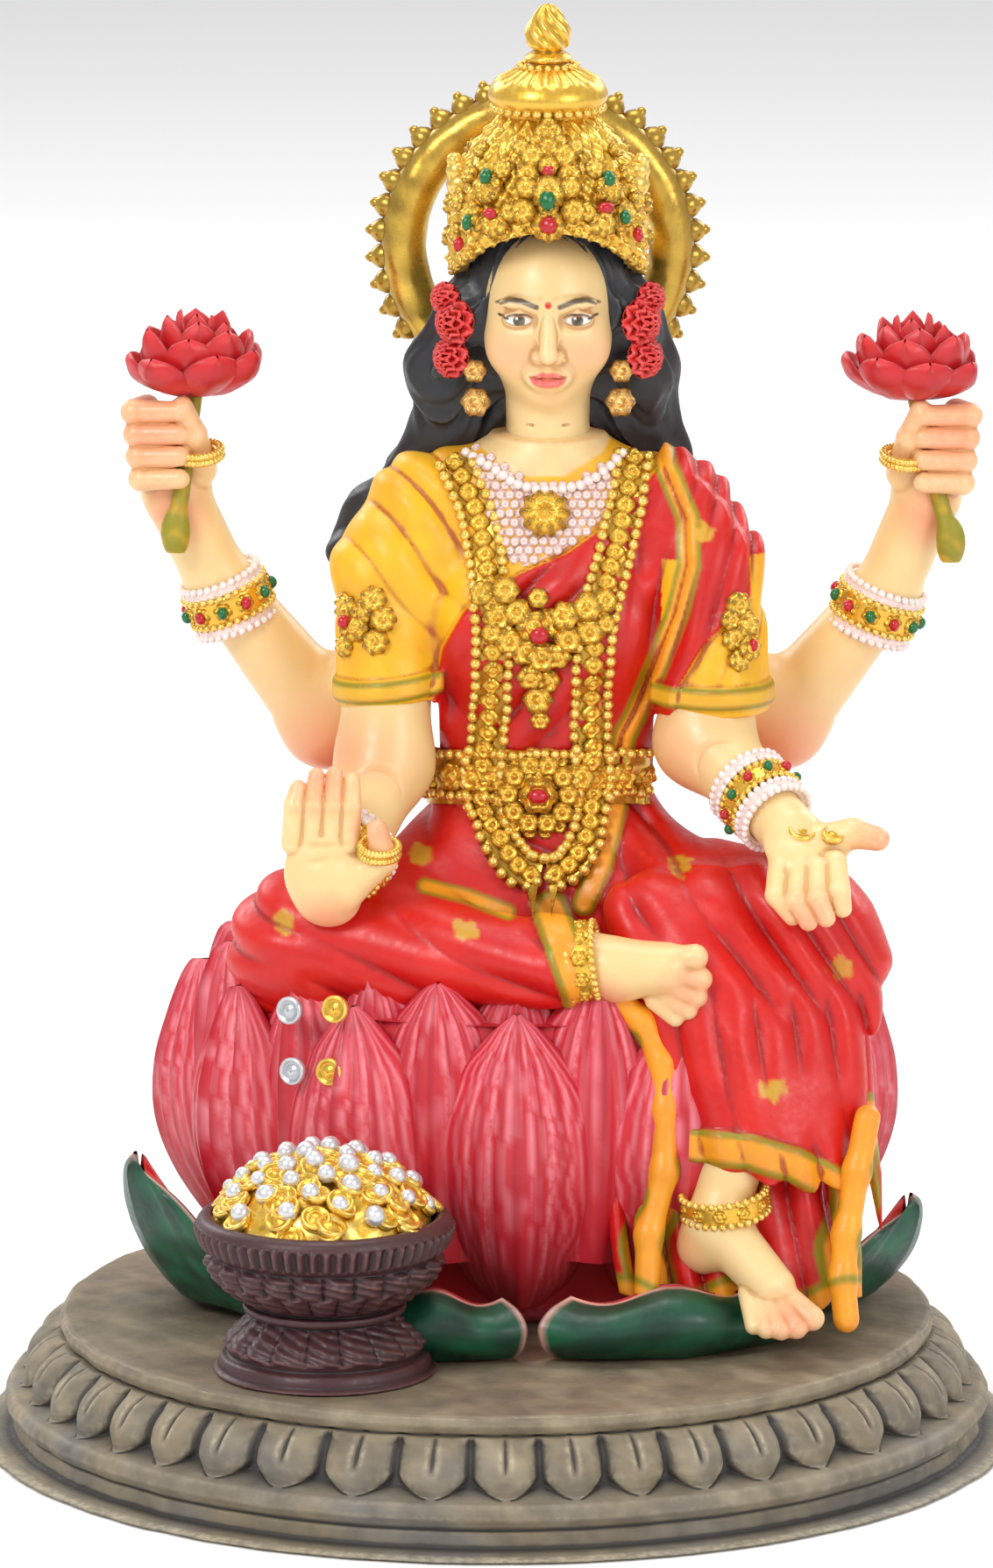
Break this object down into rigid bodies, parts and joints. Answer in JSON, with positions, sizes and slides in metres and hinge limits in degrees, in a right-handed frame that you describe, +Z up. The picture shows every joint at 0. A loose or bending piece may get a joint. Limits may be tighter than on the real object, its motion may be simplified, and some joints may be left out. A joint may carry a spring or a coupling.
{
  "type": "hindu deity statue",
  "caption": "Painted cast-resin statuette of a four-armed goddess seated on a lotus throne, on a round stone-look plinth beside a pot of treasure.",
  "frame": {"origin": "middle of the plinth's underside", "axes": "+Z up, the figure faces -Y, +X to its left-hand side (the viewer's right)"},
  "size_m": [0.1032, 0.1032, 0.1484],
  "materials": {
    "stone": "matte",
    "pot_brown": "satin",
    "gold": "metallic paint",
    "pearl_silver": "metallic paint",
    "petal_pink": "satin",
    "leaf_green": "satin",
    "saree_red": "satin",
    "border_yellow": "satin",
    "blouse_yellow": "satin",
    "lace_white": "pearl",
    "resin_skin": "translucent satin",
    "hair_black": "satin",
    "flower_coral": "satin",
    "stem_green": "satin",
    "gem_red": "gloss",
    "gem_green": "gloss"
  },
  "bodies": {
    "root": {"anklets": "gold", "armlets": "gold", "belt": "gold", "belt_buckle": "gold", "border_hem": "border_yellow", "border_shin": "border_yellow", "border_tails": "border_yellow", "chest_ornament": "gold", "crown": "gold", "crown_finial": "gold", "crown_gems": "gem_red", "drape_border": "border_yellow", "earrings": "gold", "front_bracelets": "gold", "front_left_arm": "resin_skin", "front_right_arm": "resin_skin", "garland": "gold", "hair": "hair_black", "hair_flowers": "flower_coral", "halo_ring": "gold", "halo_teeth": "gold", "head": "resin_skin", "held_lotus_left": "flower_coral", "held_lotus_right": "flower_coral", "lace_collar": "lace_white", "leaf_back_left": "leaf_green", "leaf_back_right": "leaf_green", "leaf_front_left": "leaf_green", "leaf_front_right": "leaf_green", "leaf_left": "leaf_green", "leaf_right": "leaf_green", "left_foot": "resin_skin", "loose_coins": "gold", "lotus_core": "petal_pink", "lotus_petals_inner": "petal_pink", "lotus_petals_outer": "petal_pink", "lotus_stems": "stem_green", "medallion": "gold", "plinth_base": "stone", "plinth_bottom_plate": "stone", "plinth_tongues": "stone", "plinth_top_plate": "stone", "pot_bowl": "pot_brown", "pot_foot": "pot_brown", "rear_bracelets": "gold", "rear_left_arm": "resin_skin", "rear_right_arm": "resin_skin", "right_foot": "resin_skin", "shoulder_drape": "saree_red", "skirt": "saree_red", "skirt_left_leg": "saree_red", "skirt_right_leg": "saree_red", "sleeve_hems": "border_yellow", "sleeve_left": "blouse_yellow", "sleeve_right": "blouse_yellow", "torso": "saree_red", "treasure_heap": "gold", "treasure_pearls": "pearl_silver", "underdrape": "saree_red", "waist_pleats": "saree_red"}
  },
  "joints": []
}
